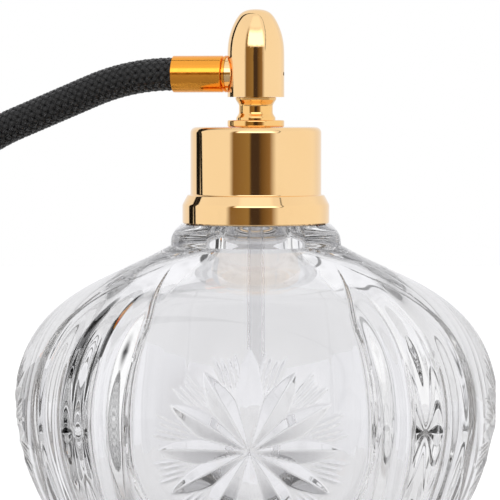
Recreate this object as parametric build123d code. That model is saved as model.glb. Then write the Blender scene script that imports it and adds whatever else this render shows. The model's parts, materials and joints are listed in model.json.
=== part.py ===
"""Bulb perfume atomiser: a cut-crystal bottle, a screw closure, a swivelling spray head, a braided hose and a squeeze bulb.

Millimetres, +Z up, origin at the centre of the bottle's flat base, one star panel facing -Y.
Radii are named *_R, heights *_Z. Parts of the head, hose and bulb are drawn in the plane Y = 0, with the
hose leaving along -X, and are then turned together about Z by HEAD_TURN.
"""
import os
from math import cos, radians, sin, tan

from build123d import *

FIT = 0.03  # gap left between pressed, bonded or pushed-on pieces
RUN = 0.06  # radial gap of a running fit

# Bottle
BODY_R = 49.3
BELLY_Z = 43.1
BASE_R = 22.5
SHOULDER_R, SHOULDER_Z = 17.4, 74.9
SEAT_R, SEAT_Z = 15.6, 79.2
NECK_R, NECK_TOP_Z = 9.4, 91.0
BORE_R, BORE_END_Z = 6.5, 75.5
CAVITY_R, FLOOR_Z = 31.0, 12.0  # the crystal is thick, most of all under the shoulder and at the belly
PANELS = 4
REED_ANGLE = 11.0  # three convex reeds stand between two star panels
GROOVE_DEPTH = 0.9
GROOVE_SLOPE = 55.0  # half of the groove's V angle
EDGE_CUT = (48.2, 49.5, 14.0, 50.0)  # radius and height of a panel edge's deepest point, its lean, its arc's radius
REED_CUT = (BODY_R, 41.0, -3.0, 58.0)  # the same for a cut between two reeds

# Thread between neck ring and closure
PITCH = 3.0
THREAD_ROOT_R, THREAD_CREST_R = 10.4, 11.2
THREAD_GAP = 0.2
THREAD_START_Z, THREAD_END_Z = 81.8, 88.4

# Closure
COLLAR_FLANGE_R, COLLAR_R = 15.0, 13.35
COLLAR_BOTTOM_Z, COLLAR_STEP_Z, COLLAR_TOP_Z = 79.35, 85.2, 99.0
COLLAR_SLOPE = 2.0  # height of the sloping shoulder between the collar's two widths
COLLAR_WALL = 0.7
GASKET = 1.0
WEB_Z = NECK_TOP_Z + GASKET
WEB = 2.2

# Stem
SHANK_R = 3.1
BEARING_WALL = 2.4
CLIP_DEPTH = 0.5
STEM_FLANGE_R, STEM_FLANGE_TOP_Z = 5.8, 100.4
STEM_TOP_Z = 108.4
SHANK_END_Z = 89.4
SPIGOT_R, SPIGOT_END_Z = 1.25, 83.4
AIR_BORE_R, AIR_BORE_END_Z = 1.6, 90.0
RISER_R, RISER_BORE_R = 0.8, 0.5
SPOOL_WAIST_R, SPOOL_RIM_R = 3.45, 4.2
SOCKET_R = 2.6

# Head
HEAD_TURN = -12.0
HEAD_R, HEAD_BOTTOM_Z, HEAD_TOP_Z = 5.8, 105.1, 122.95
DOME_START_Z = 112.0
DOME_MIDDLE = (5.3, 0, 117.8)
DOME_UPPER = (3.67, 0, 121.4)
SPRAY_Z = 109.8
NOZZLE_R, NOZZLE_BACK, NOZZLE_FRONT = 1.5, 3.0, 4.9
OUTLET_R, ORIFICE_R = 0.42, 0.2
JET_R, JET_BORE_R, JET_END = 0.42, 0.22, 4.0
BOSS_R, BOSS_FACE = 3.5, 5.95
SPIGOT_JOINT_R, SPIGOT_JOINT_START = 2.0, 2.9  # the hose fitting's end inside the head

# Hose
HOSE_R, TUBE_R, TUBE_BORE_R = 3.35, 2.7, 1.65
BARB_R, BARB_SHANK_R, AIRWAY_R = TUBE_BORE_R - FIT, 1.3, 0.9
FERRULE_R, FERRULE_WALL_END = 3.75, 0.5
FERRULE_START, FERRULE_END = 6.7, 17.1
FLANGE_END = 6.35
NECKED_R = 3.05  # the fittings' waists beside the ferrules
HOSE_START = FERRULE_START + FERRULE_WALL_END + FIT
ARC_1_R, ARC_1_TURN = 44.0, 22.5
STRAIGHT = 18.0
ARC_2_R, ARC_2_TURN = 40.0, 20.0  # made twice, before and after a short straight
SHORT_STRAIGHT = 8.0
END_STRAIGHT = 9.0
BEND_AT, CURL_AT = 32.0, 63.5  # distances along the hose of its two bending places, both on straights
BALL_R, POCKET_R = HOSE_R, HOSE_R + 0.18

# Bulb, along its own axis from the end of the hose's last arc
PLUG_R, PLUG_LENGTH = 3.4, 8.0
BULB_NECK_R, BULB_R = 4.6, 23.2
BULB_START, BULB_LENGTH, BULB_WALL = 11.0, 60.0, 2.0
BULB_END = BULB_START + BULB_LENGTH
BULB_NECK = 4.5
NET = 0.8
BINDING = 0.9
RIM_START = 10.0
OUTLET_END = BULB_START + PLUG_LENGTH
INTAKE_START = BULB_END - PLUG_LENGTH
TAIL_END = BULB_END + 3.4

# Valves. A ball rests just off a conical seat and is stopped by a cross pin.
VALVE_BALL_R, CHAMBER_R, PIN_R = 1.5, 2.0, 0.3
BALL_LIFT = 0.8
SEAT_DEPTH, SEAT_MOUTH_R, CONE_DEPTH = 2.4, 1.6, 1.1
OUTLET_SEAT_Z = OUTLET_END - SEAT_DEPTH
INTAKE_SEAT_Z = INTAKE_START + 5.0
CONE_SLOPE = CONE_DEPTH / (SEAT_MOUTH_R - AIRWAY_R)
BALL_STAND = VALVE_BALL_R * (1 + CONE_SLOPE**2) ** 0.5 - CONE_SLOPE * SEAT_MOUTH_R  # ball's centre above the seat
PIN_STAND = VALVE_BALL_R + BALL_LIFT + PIN_R + 0.1  # pin's centre beyond the ball's
OUTLET_BALL_Z = OUTLET_SEAT_Z - BALL_STAND - RUN
INTAKE_BALL_Z = INTAKE_SEAT_Z - BALL_STAND - RUN

SPACE = 300.0  # side of a box that stands for half of space


def turned(*corners):
    """A solid of revolution about Z, from its half section's (radius, height) corners."""
    outline = Polyline(*[(r, 0, z) for r, z in corners], close=True)
    return revolve(make_face(outline), Axis.Z)


def ring(inner, outer, low, high):
    return turned((inner, low), (outer, low), (outer, high), (inner, high))


def rod(radius, low, high):
    return Pos(0, 0, (low + high) / 2) * Cylinder(radius, high - low)


def to_spray(shape):
    """Lays a shape drawn along Z on the spray axis, pointing at +X."""
    return Pos(0, 0, SPRAY_Z) * Rotation(0, 90, 0) * shape


def to_hose(shape):
    """Lays a shape drawn along Z on the hose's first stretch, pointing at -X."""
    return Pos(0, 0, SPRAY_Z) * Rotation(0, -90, 0) * shape


def on_head(shape):
    """Turns a head part to where the head stands at rest."""
    return Rotation(0, 0, HEAD_TURN) * shape


# ---- bottle ----


def body_outline():
    """The outside of the body, from the foot up to the neck, as one curve in the XZ plane."""
    return Spline(
        (BASE_R, 0, 0.8),
        (37.6, 0, 13.7),
        (46.2, 0, 28.4),
        (BODY_R, 0, BELLY_Z),
        (44.7, 0, 57.8),
        (32.3, 0, 67.7),
        (SHOULDER_R, 0, SHOULDER_Z),
        tangents=((1, 0, 0.7), (-1, 0, 0.42)),
    )


def cavity():
    """The hollow for the perfume, with the bore up through the neck."""
    wall = Spline(
        (BORE_R, 0, BORE_END_Z),
        (8.0, 0, 69.0),
        (14.0, 0, 63.5),
        (22.5, 0, 59.0),
        (28.0, 0, 52.5),
        (CAVITY_R, 0, 43.5),
        (29.5, 0, 30.0),
        (21.0, 0, 17.5),
        (11.0, 0, FLOOR_Z + 1.3),
        (0, 0, FLOOR_Z),
    )
    top = NECK_TOP_Z + 1
    closing = Polyline((0, 0, FLOOR_Z), (0, 0, top), (BORE_R, 0, top), (BORE_R, 0, BORE_END_Z))
    return revolve(make_face(wall + closing), Axis.Z)


def groove(azimuth, middle_r, middle_z, tilt, arc_r):
    """A V cut down one meridian. Its edge is an arc flatter than the glass, so the cut fades out at both ends."""
    reach = 3.0
    half = reach * tan(radians(GROOVE_SLOPE))
    section = Polyline((arc_r, 0, 0), (arc_r + reach, 0, half), (arc_r + reach, 0, -half), close=True)
    cutter = revolve(make_face(section), Axis.Z, 60)
    cutter = Rotation(0, 0, -30) * cutter
    at = Pos(middle_r - GROOVE_DEPTH, 0, middle_z) * Rotation(0, -tilt, 0) * Pos(-arc_r, 0, 0)
    return Rotation(0, 0, azimuth) * at * Rotation(90, 0, 0) * cutter


def bottle_glass():
    neck_bulge = ThreePointArc(
        (SHOULDER_R, 0, SHOULDER_Z), (17.0, 0, 77.4), (SEAT_R - 0.4, 0, SEAT_Z)
    )
    rest = Polyline(
        (SEAT_R - 0.4, 0, SEAT_Z),
        (NECK_R, 0, SEAT_Z),
        (NECK_R, 0, NECK_TOP_Z),
        (0, 0, NECK_TOP_Z),
        (0, 0, 0),
        (BASE_R - 0.8, 0, 0),
        (BASE_R, 0, 0.8),
    )
    glass = revolve(make_face(body_outline() + neck_bulge + rest), Axis.Z) - cavity()
    for panel in range(PANELS):
        corner = 45 + panel * 360 / PANELS
        for side in (-1, 1):
            glass -= groove(corner + side * 1.5 * REED_ANGLE, *EDGE_CUT)
            glass -= groove(corner + side * 0.5 * REED_ANGLE, *REED_CUT)
    return glass


def neck_ring():
    """The threaded brass ring bonded round the ground glass neck."""
    inner = NECK_R + FIT
    base = ring(inner, THREAD_CREST_R + 1, SEAT_Z + FIT, SEAT_Z + 1)
    sleeve = ring(inner, THREAD_ROOT_R, SEAT_Z + FIT, NECK_TOP_Z - 0.5)
    return base + sleeve + thread(THREAD_ROOT_R, THREAD_CREST_R, 0, THREAD_START_Z, THREAD_END_Z)


def thread(root_r, crest_r, widen, low, high):
    """A trapezoid ridge wound on a helix, from one height to the other."""
    sink = 0.3
    helix = Helix(PITCH, high - low, root_r)
    slope = 0.5
    half_root = 0.75 + widen
    half_crest = half_root - slope * (crest_r - root_r)
    half_sunk = half_root + slope * sink
    section = Polyline(
        (root_r - sink, 0, -half_sunk),
        (crest_r, 0, -half_crest),
        (crest_r, 0, half_crest),
        (root_r - sink, 0, half_sunk),
        close=True,
    )
    return Pos(0, 0, low) * sweep(make_face(section), path=helix, is_frenet=True)


# ---- closure ----


def neck_gasket():
    return ring(BORE_R - 0.4, NECK_R, NECK_TOP_Z + FIT, WEB_Z - FIT)


def closure_insert():
    """The plastic liner of the collar: the female thread below, the web that presses the gasket, the stem's bearing."""
    outer = COLLAR_R - COLLAR_WALL - FIT
    bore = THREAD_ROOT_R + THREAD_GAP
    bottom = SEAT_Z + 1.6
    top = COLLAR_TOP_Z - COLLAR_WALL - FIT
    body = turned(
        (bore, bottom),
        (outer, bottom),
        (outer, WEB_Z + WEB),
        (SHANK_R + BEARING_WALL, WEB_Z + WEB),
        (SHANK_R + BEARING_WALL, top),
        (SHANK_R + RUN, top),
        (SHANK_R + RUN, WEB_Z),
        (bore, WEB_Z),
    )
    # The groove starts below the skirt on the male thread's own helix and runs out above it.
    turns_below = 1
    low = THREAD_START_Z - turns_below * PITCH
    return body - thread(bore, THREAD_CREST_R + THREAD_GAP, 0.12, low, THREAD_END_Z + 0.8)


def collar_shell():
    """The gold-plated outer shell: one spun piece with a rounded shoulder between its two widths."""
    w = COLLAR_WALL
    slope_low = COLLAR_STEP_Z - COLLAR_SLOPE
    slope_top_r = COLLAR_R + 0.6
    shell = turned(
        (COLLAR_FLANGE_R, COLLAR_BOTTOM_Z),
        (COLLAR_FLANGE_R, slope_low),
        (slope_top_r, COLLAR_STEP_Z),
        (COLLAR_R, COLLAR_STEP_Z),
        (COLLAR_R, COLLAR_TOP_Z),
        (SHANK_R + RUN, COLLAR_TOP_Z),
        (SHANK_R + RUN, COLLAR_TOP_Z - w),
        (COLLAR_R - w, COLLAR_TOP_Z - w),
        (COLLAR_R - w, slope_low - w),
        (COLLAR_FLANGE_R - w, slope_low - w),
        (COLLAR_FLANGE_R - w, COLLAR_BOTTOM_Z),
    )
    rounds = (
        (COLLAR_R, COLLAR_TOP_Z, 1.2),
        (COLLAR_FLANGE_R, slope_low, 1.2),
        (slope_top_r, COLLAR_STEP_Z, 0.3),
        (COLLAR_R, COLLAR_STEP_Z, 0.25),
    )
    for edge_r, edge_z, radius in rounds:
        circles = shell.edges().filter_by(GeomType.CIRCLE)
        edge = [e for e in circles if abs(e.radius - edge_r) < 0.01 and abs(e.arc_center.Z - edge_z) < 0.01]
        shell = fillet(edge, radius)
    return shell


# ---- stem and head ----


def stem():
    """The turned brass spindle that the head stands on, with the air bore round the riser tube."""
    half_spool = (HEAD_BOTTOM_Z + STEM_FLANGE_TOP_Z) / 2
    rim = 0.5
    body = turned(
        (0, SPIGOT_END_Z),
        (SPIGOT_R, SPIGOT_END_Z),
        (SPIGOT_R, SHANK_END_Z),
        (SHANK_R, SHANK_END_Z),
        (SHANK_R, COLLAR_TOP_Z + FIT),
        (STEM_FLANGE_R, COLLAR_TOP_Z + FIT),
        (STEM_FLANGE_R, STEM_FLANGE_TOP_Z),
        (SPOOL_RIM_R - 0.1, STEM_FLANGE_TOP_Z),
        (SPOOL_RIM_R - 0.1, STEM_FLANGE_TOP_Z + rim),
        (SPOOL_WAIST_R, half_spool - 0.9),
        (SPOOL_WAIST_R, half_spool + 0.9),
        (SPOOL_RIM_R, HEAD_BOTTOM_Z - rim - FIT),
        (SPOOL_RIM_R, HEAD_BOTTOM_Z - FIT),
        (SOCKET_R, HEAD_BOTTOM_Z - FIT),
        (SOCKET_R, STEM_TOP_Z),
        (0, STEM_TOP_Z),
    )
    body -= rod(AIR_BORE_R, AIR_BORE_END_Z, STEM_TOP_Z + 1)
    body -= rod(RISER_R + FIT, SPIGOT_END_Z + 2, AIR_BORE_END_Z + 1)
    body -= rod(RISER_BORE_R, SPIGOT_END_Z - 1, SPIGOT_END_Z + 3)
    body -= ring(SHANK_R - CLIP_DEPTH, SHANK_R + 1, WEB_Z - 0.75, WEB_Z - 0.1)
    air_hole = Pos(0, 0, AIR_BORE_END_Z + 0.5) * Rotation(90, 0, 0) * Cylinder(0.4, 3 * SHANK_R)
    return body - air_hole


def stem_clip():
    """The split spring ring that keeps the stem from pulling out of the closure."""
    clip = ring(SHANK_R - CLIP_DEPTH + FIT, SHANK_R + 1.9, WEB_Z - 0.7, WEB_Z - 0.15)
    return clip - Pos(SHANK_R + 1, 0, WEB_Z) * Box(4, 2.2, 4)


def riser_tube():
    return ring(RISER_BORE_R, RISER_R, SPIGOT_END_Z + 2.1, SPRAY_Z - 0.35)


def dip_tube():
    """The clear plastic tube from the stem's spigot down to just above the bottle's floor, cut on a slant."""
    bottom = FLOOR_Z + 1.5
    tube = ring(SPIGOT_R + FIT, SPIGOT_R + 0.55, bottom, SHANK_END_Z - 0.4)
    slant = Pos(0, 0, bottom) * Rotation(0, 30, 0) * Pos(0, 0, -5) * Box(10, 10, 10)
    return tube - slant


def head_body():
    """The bullet-shaped spray head, drilled for air, liquid, the nozzle and the hose fitting."""
    dome = Spline(
        (HEAD_R, 0, DOME_START_Z),
        DOME_MIDDLE,
        DOME_UPPER,
        (0, 0, HEAD_TOP_Z),
        tangents=((0, 0, 1), (-1, 0, 0)),
    )
    rest = Polyline((0, 0, HEAD_TOP_Z), (0, 0, HEAD_BOTTOM_Z), (HEAD_R, 0, HEAD_BOTTOM_Z), (HEAD_R, 0, DOME_START_Z))
    head = revolve(make_face(dome + rest), Axis.Z)
    head += to_hose(rod(BOSS_R, 0, BOSS_FACE))
    head -= rod(SOCKET_R + FIT, HEAD_BOTTOM_Z - 1, STEM_TOP_Z + FIT)
    head -= rod(AIR_BORE_R, STEM_TOP_Z - 1, SPRAY_Z)
    head -= to_spray(rod(NOZZLE_R + FIT, -HEAD_R, NOZZLE_FRONT))
    head -= to_spray(rod(OUTLET_R, 0, HEAD_R + 1))
    return head - to_hose(rod(SPIGOT_JOINT_R + FIT, SPIGOT_JOINT_START - 0.05, BOSS_FACE + 1))


def nozzle_tip():
    """The jet pressed into the spray end of the head, behind the head's outlet."""
    wall = 0.5
    tip = rod(NOZZLE_R, NOZZLE_BACK, NOZZLE_FRONT - FIT)
    tip -= rod(NOZZLE_R - 0.45, NOZZLE_BACK - 1, NOZZLE_FRONT - wall)
    return to_spray(tip - rod(ORIFICE_R, NOZZLE_BACK, NOZZLE_FRONT + 1))


def liquid_jet():
    """The fine tube that carries liquid from the riser to just behind the orifice, on a small round foot."""
    foot_r, foot_low, foot_high = 1.05, -0.3, 0.35
    foot = Pos(0, 0, SPRAY_Z) * rod(foot_r, foot_low, foot_high)
    jet = rod(JET_R, 0, JET_END)
    inlet = Pos(0, 0, SPRAY_Z) * rod(JET_R, foot_low - 1, 0)
    return foot + to_spray(jet) - to_spray(rod(JET_BORE_R, -JET_R, JET_END + 1)) - inlet


def hose_connector():
    """The barbed fitting screwed into the head: spigot, flange, waist and two barbs."""
    flange = BOSS_FACE + FIT
    end = FERRULE_END - 1.6
    body = turned(
        (0, SPIGOT_JOINT_START),
        (SPIGOT_JOINT_R, SPIGOT_JOINT_START),
        (SPIGOT_JOINT_R, flange),
        (FERRULE_R, flange),
        (FERRULE_R, FLANGE_END),
        (NECKED_R, FLANGE_END + 0.1),
        (NECKED_R, FERRULE_START - FIT),
        (BARB_SHANK_R, FERRULE_START - FIT),
        (BARB_SHANK_R, end - 5),
        (BARB_R, end - 4.6),
        (BARB_SHANK_R, end - 2.2),
        (BARB_R, end - 1.8),
        (BARB_SHANK_R, end),
        (0, end),
    )
    return to_hose(body - rod(AIRWAY_R, SPIGOT_JOINT_START - 1, end + 1))


def ferrule(start, end):
    """A drawn gold cup over the end of the hose, closed but for the fitting's hole, open at end."""
    hole = TUBE_BORE_R
    wall_r = HOSE_R + FIT
    cup = turned(
        (hole, start),
        (FERRULE_R, start),
        (FERRULE_R, end),
        (wall_r, end),
        (wall_r, start + FERRULE_WALL_END),
        (hole, start + FERRULE_WALL_END),
    )
    rim = [e for e in cup.edges().filter_by(GeomType.CIRCLE) if abs(e.radius - FERRULE_R) < 0.01]
    closed_end = min(rim, key=lambda e: e.arc_center.Z)
    return fillet([closed_end], 0.35)


# ---- hose ----


def hose_path():
    """The hose's centre line in the XZ plane: straights joined by three bends, all downwards."""
    line = Line((-HOSE_START, SPRAY_Z), (-FERRULE_END - 0.4, SPRAY_Z))
    path = line
    bends = (
        (ARC_1_R, ARC_1_TURN, STRAIGHT),
        (ARC_2_R, ARC_2_TURN, SHORT_STRAIGHT),
        (ARC_2_R, ARC_2_TURN, END_STRAIGHT),
    )
    for radius, turn, length in bends:
        bend = JernArc(line @ 1, line % 1, radius, turn)
        line = Line(bend @ 1, (bend @ 1) + (bend % 1) * length)
        path += bend + line
    return Plane.XZ * path


def hose_point(distance):
    """(place, direction) on the hose's centre line at a distance from its start."""
    wire = Wire(hose_path().edges())
    share = distance / wire.length
    return wire.position_at(share), wire.tangent_at(share)


def half_space(point, direction):
    """Everything ahead of a point."""
    return Plane(origin=point, z_dir=direction) * Pos(0, 0, SPACE / 2) * Box(SPACE, SPACE, SPACE)


def hose_sleeve(inner, outer):
    """A round sleeve along the whole hose, cut into three lengths that meet in ball-shaped ends."""
    start, direction = hose_point(0)
    section = Plane(origin=start, z_dir=direction) * (Circle(outer) - Circle(inner))
    whole = sweep(section, path=hose_path())
    lengths = []
    for distance in (BEND_AT, CURL_AT):
        point, ahead = hose_point(distance)
        ball = Pos(*point) * Sphere(BALL_R)
        pocket = Pos(*point) * Sphere(POCKET_R)
        lengths.append(whole - (half_space(point, ahead) - ball))
        whole = whole - half_space(point, ahead * -1) - pocket
    return lengths + [whole]


def on_bulb(shape):
    """Lays a shape drawn along Z on the bulb's axis, from the end of the hose's last arc outward."""
    wire = Wire(hose_path().edges())
    end, direction = hose_point(wire.length - END_STRAIGHT)
    turn = -90 - ARC_1_TURN - 2 * ARC_2_TURN
    return Pos(*end) * Rotation(0, turn, 0) * shape


# ---- bulb ----


def bulb_outline(offset):
    """The bulb's half outline, offset outwards, from its front neck to its tail neck."""
    front, back = BULB_START + BULB_NECK, BULB_END - BULB_NECK
    middle = (front + back) / 2
    return Spline(
        (BULB_NECK_R + offset, 0, front),
        (15.5 + offset, 0, front + 6.6 - offset / 2),
        (BULB_R + offset, 0, middle),
        (15.5 + offset, 0, back - 6.6 + offset / 2),
        (BULB_NECK_R + offset, 0, back),
        tangents=((1, 0, 0.35), (-1, 0, 0.35)),
    )


def bulb():
    """The moulded rubber bulb: two tubular necks and a round belly of even wall."""
    outline = bulb_outline(0)
    neck = BULB_NECK_R
    outside = outline + Polyline(
        outline @ 1, (neck, 0, BULB_END), (0, 0, BULB_END), (0, 0, BULB_START), (neck, 0, BULB_START), outline @ 0
    )
    hollow_line = bulb_outline(-BULB_WALL)
    hollow = hollow_line + Polyline(
        hollow_line @ 1, (0, 0, (hollow_line @ 1).Z), (0, 0, (hollow_line @ 0).Z), hollow_line @ 0
    )
    solid = revolve(make_face(outside), Axis.Z) - revolve(make_face(hollow), Axis.Z)
    return solid - rod(PLUG_R + FIT, BULB_START - 1, BULB_END + 1)


def bulb_net():
    """The knitted cover, as one thin skin over the belly."""
    gap = 0.08
    inner, outer = bulb_outline(gap), bulb_outline(gap + NET)
    front = Line(inner @ 0, outer @ 0)
    back = Line(inner @ 1, outer @ 1)
    return revolve(make_face(inner + outer + front + back), Axis.Z)


def binding(low, high):
    """Thread whipped round one neck of the bulb, over the rubber."""
    return ring(BULB_NECK_R + FIT, BULB_NECK_R + BINDING, low, high)


def outlet_body():
    """The fitting between hose and bulb, with a ball chamber that lets air out of the bulb only."""
    shoulder = END_STRAIGHT + FERRULE_WALL_END + 2 * FIT
    body = turned(
        (0, 1.6),
        (BARB_SHANK_R, 1.6),
        (BARB_R, 3.4),
        (BARB_SHANK_R, 3.8),
        (BARB_R, 6.2),
        (BARB_SHANK_R, 6.6),
        (BARB_SHANK_R, shoulder),
        (NECKED_R, shoulder),
        (NECKED_R, RIM_START),
        (BULB_NECK_R + BINDING, RIM_START),
        (BULB_NECK_R + BINDING, BULB_START - FIT),
        (PLUG_R, BULB_START - FIT),
        (PLUG_R, OUTLET_END),
        (0, OUTLET_END),
    )
    chamber_start = OUTLET_BALL_Z - PIN_STAND - 0.8
    body -= rod(AIRWAY_R, 0, chamber_start + 1)
    body -= rod(CHAMBER_R, chamber_start, OUTLET_END + 1)
    return body - stop_pin(OUTLET_BALL_Z, gap=FIT, length=2 * PLUG_R + 1)


def intake_body():
    """The tail fitting, with a ball chamber that lets air into the bulb only, and a round gold end."""
    body = turned(
        (0, INTAKE_START),
        (PLUG_R, INTAKE_START),
        (PLUG_R, BULB_END + FIT),
        (BULB_NECK_R + BINDING, BULB_END + FIT),
        (BULB_NECK_R + BINDING, BULB_END + 1.2),
        (BULB_NECK_R - 0.2, BULB_END + 2.4),
        (NECKED_R - 0.45, TAIL_END),
        (0, TAIL_END),
    )
    body -= rod(CHAMBER_R, INTAKE_START - 1, INTAKE_SEAT_Z + SEAT_DEPTH)
    body -= rod(AIRWAY_R, INTAKE_START, TAIL_END + 1)
    return body - stop_pin(INTAKE_BALL_Z, gap=FIT, length=2 * PLUG_R + 1)


def stop_pin(ball_z, gap=0.0, length=2 * PLUG_R - 0.1):
    """The cross pin that stops a valve ball without closing its passage, or with a gap the hole for it."""
    return Pos(0, 0, ball_z - PIN_STAND) * Rotation(90, 0, 0) * Cylinder(PIN_R + gap, length)


def valve_seat(face, back):
    """A pressed-in ring with a conical seat, whose wide side faces the ball."""
    return turned(
        (CHAMBER_R - FIT, face),
        (CHAMBER_R - FIT, back),
        (AIRWAY_R, back),
        (AIRWAY_R, face + CONE_DEPTH),
        (SEAT_MOUTH_R, face),
    )


def valve_ball(z):
    return Pos(0, 0, z) * Sphere(VALVE_BALL_R)


def main():
    os.makedirs("parts", exist_ok=True)
    nodes = {
        "bottle_glass": bottle_glass(),
        "neck_ring": neck_ring(),
        "neck_gasket": neck_gasket(),
        "closure_insert": closure_insert(),
        "collar_shell": collar_shell(),
        "stem": on_head(stem()),
        "stem_clip": on_head(stem_clip()),
        "riser_tube": on_head(riser_tube()),
        "dip_tube": on_head(dip_tube()),
        "head_body": on_head(head_body()),
        "nozzle_tip": on_head(nozzle_tip()),
        "liquid_jet": on_head(liquid_jet()),
        "hose_connector": on_head(hose_connector()),
        "head_ferrule": on_head(to_hose(ferrule(FERRULE_START, FERRULE_END))),
    }
    for name, inner, outer in (("hose_tube", TUBE_BORE_R, TUBE_R - FIT), ("hose_braid", TUBE_R, HOSE_R)):
        for place, length in zip(("upper", "middle", "lower"), hose_sleeve(inner, outer)):
            nodes[f"{name}_{place}"] = on_head(length)
    facing_hose = Pos(0, 0, END_STRAIGHT + FERRULE_WALL_END + FIT) * Rotation(180, 0, 0)
    bulb_parts = {
        "bulb_ferrule": facing_hose * ferrule(0, FERRULE_END - FERRULE_START),
        "outlet_body": outlet_body(),
        "outlet_seat": valve_seat(OUTLET_SEAT_Z, OUTLET_END),
        "outlet_ball": valve_ball(OUTLET_BALL_Z),
        "outlet_stop_pin": stop_pin(OUTLET_BALL_Z),
        "bulb": bulb(),
        "bulb_net": bulb_net(),
        "front_binding": binding(BULB_START + 0.6, BULB_START + BULB_NECK - 0.6),
        "tail_binding": binding(BULB_END - BULB_NECK + 0.6, BULB_END - 0.6),
        "intake_body": intake_body(),
        "intake_seat": valve_seat(INTAKE_SEAT_Z, INTAKE_SEAT_Z + SEAT_DEPTH - FIT),
        "intake_ball": valve_ball(INTAKE_BALL_Z),
        "intake_stop_pin": stop_pin(INTAKE_BALL_Z),
    }
    nodes.update({name: on_head(on_bulb(shape)) for name, shape in bulb_parts.items()})
    for name, shape in nodes.items():
        export_step(shape, f"parts/{name}.step")


main()
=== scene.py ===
"""Looks of the bulb perfume atomiser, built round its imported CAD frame. Metres, +Z up, star panel facing -Y.

Outlines are (radius, height) lists, and MM turns millimetres into metres. Named angles are in degrees.
"""

import json
from math import cos, pi, radians, sin

import bpy
import numpy as np
from mathutils import Matrix, Vector


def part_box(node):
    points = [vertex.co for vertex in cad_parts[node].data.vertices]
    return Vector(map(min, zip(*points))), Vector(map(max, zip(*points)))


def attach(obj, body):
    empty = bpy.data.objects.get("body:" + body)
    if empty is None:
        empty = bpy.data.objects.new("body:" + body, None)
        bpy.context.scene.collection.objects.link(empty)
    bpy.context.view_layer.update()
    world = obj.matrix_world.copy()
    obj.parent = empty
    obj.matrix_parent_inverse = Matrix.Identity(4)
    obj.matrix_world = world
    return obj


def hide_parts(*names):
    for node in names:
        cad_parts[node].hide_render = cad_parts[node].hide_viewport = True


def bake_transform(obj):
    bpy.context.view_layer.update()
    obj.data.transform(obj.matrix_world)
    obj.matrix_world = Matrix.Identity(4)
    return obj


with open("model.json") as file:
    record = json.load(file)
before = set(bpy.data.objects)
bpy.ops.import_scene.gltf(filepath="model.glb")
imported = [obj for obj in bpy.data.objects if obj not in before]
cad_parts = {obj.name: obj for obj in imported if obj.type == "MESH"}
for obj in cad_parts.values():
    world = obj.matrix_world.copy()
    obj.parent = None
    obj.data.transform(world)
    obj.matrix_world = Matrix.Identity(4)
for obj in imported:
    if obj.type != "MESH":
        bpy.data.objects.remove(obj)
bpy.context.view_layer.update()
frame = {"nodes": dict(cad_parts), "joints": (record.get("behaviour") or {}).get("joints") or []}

MM = 0.001

# ---------------------------------------------------------------- positions read from the frame

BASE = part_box("bottle_glass")
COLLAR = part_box("collar_shell")
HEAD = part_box("head_body")
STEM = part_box("stem")
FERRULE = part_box("head_ferrule")
JOINTS = {joint["name"]: joint for joint in frame["joints"]}


def middle(corners):
    """The middle of a box given by its two corners."""
    return (corners[0] + corners[1]) / 2


NECK_TOP = BASE[1].z
AXIS_OF_SPRAY = Vector((-middle(FERRULE).x, -middle(FERRULE).y, 0)).normalized()
SPRAY_Z = middle(FERRULE).z
HOSE_OUT = -AXIS_OF_SPRAY
ALONG_BULB = -Vector(JOINTS["bulb_squeeze"]["axis"])
BEND_AT = Vector(JOINTS["hose_bend"]["pos_m"])
CURL_AT = Vector(JOINTS["hose_curl"]["pos_m"])

# ---------------------------------------------------------------- small tools


def smooth_line(points, step):
    """Points about one step apart on a natural cubic spline through the given (x, y) points."""
    p = np.array(points, float)
    chord = np.concatenate([[0], np.cumsum(np.hypot(*np.diff(p, axis=0).T))])
    h = np.diff(chord)
    n = len(p)
    system = np.eye(n)
    right = np.zeros((n, 2))
    for i in range(1, n - 1):
        system[i, i - 1 : i + 2] = h[i - 1], 2 * (h[i - 1] + h[i]), h[i]
        right[i] = 6 * ((p[i + 1] - p[i]) / h[i] - (p[i] - p[i - 1]) / h[i - 1])
    bend = np.linalg.solve(system, right)
    at = np.linspace(0, chord[-1], max(2, round(chord[-1] / step) + 1))
    k = np.clip(np.searchsorted(chord, at, side="right") - 1, 0, n - 2)
    after, before = (at - chord[k])[:, None], (chord[k + 1] - at)[:, None]
    span = h[k][:, None]
    cubic = (bend[k] * before**3 + bend[k + 1] * after**3) / (6 * span)
    start = (p[k] / span - bend[k] * span / 6) * before
    end = (p[k + 1] / span - bend[k + 1] * span / 6) * after
    return cubic + start + end


def rounded(corners, step=0.12 * MM):
    """An outline from (x, y, radius) corners. A point just before and after each arc keeps the flats flat."""
    support = 0.06 * MM
    line = []
    count = len(corners)
    for i, (x, y, r) in enumerate(corners):
        here = np.array((x, y))
        if not r or i in (0, count - 1):
            line.append(here)
            continue
        back = np.array(corners[i - 1][:2]) - here
        ahead = np.array(corners[i + 1][:2]) - here
        back, ahead = back / np.hypot(*back), ahead / np.hypot(*ahead)
        half = np.arccos(np.clip(back @ ahead, -1, 1)) / 2
        centre = here + (back + ahead) / np.hypot(*(back + ahead)) * r / sin(half)
        setback = r / np.tan(half)
        first = here + back * setback - centre
        last = here + ahead * setback - centre
        turn = pi - 2 * half
        line.append(here + back * (setback + support))
        for t in np.linspace(0, 1, max(3, round(r * turn / step) + 1)):
            mix = (first * sin((1 - t) * turn) + last * sin(t * turn)) / sin(turn)
            line.append(centre + mix)
        line.append(here + ahead * (setback + support))
    return np.array(line)


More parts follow.
